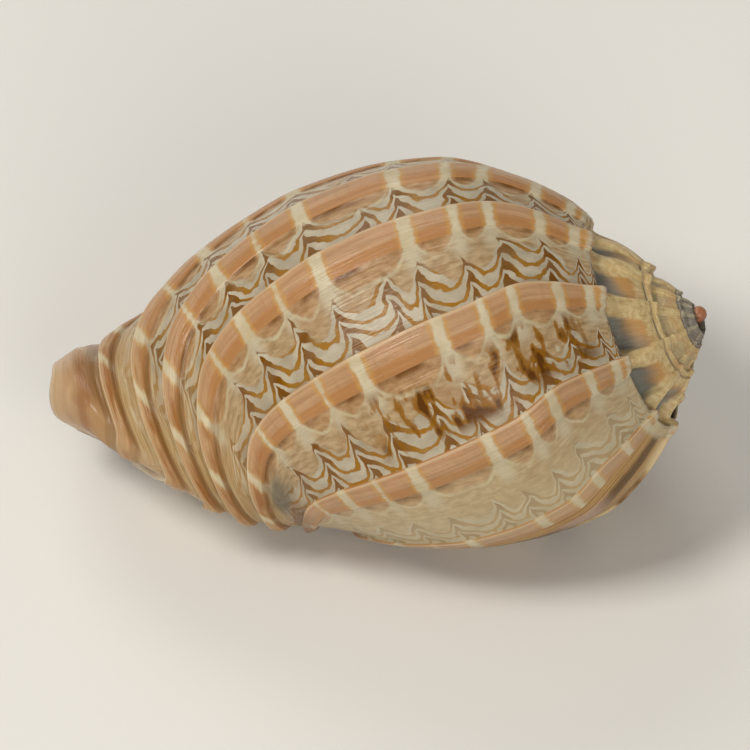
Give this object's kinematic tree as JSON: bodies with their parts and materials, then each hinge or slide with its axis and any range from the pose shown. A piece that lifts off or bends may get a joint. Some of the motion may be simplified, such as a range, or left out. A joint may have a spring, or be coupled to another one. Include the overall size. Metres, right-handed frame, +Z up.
{
  "type": "harp shell",
  "caption": "Glossy ribbed sea snail shell with a low spiny spire, a wide open mouth and a short notched neck, lying mouth down.",
  "frame": {"origin": "centre of the bounding box in plan, on the plane that the shell lies on", "axes": "+X towards the spire, along the length; +Z up, away from the mouth, which faces down"},
  "size_m": [0.076, 0.0508, 0.041],
  "materials": {
    "shell": "glossy, cream with tan and brown bands and zigzags"
  },
  "bodies": {
    "root": {"shell": "shell"}
  },
  "joints": []
}
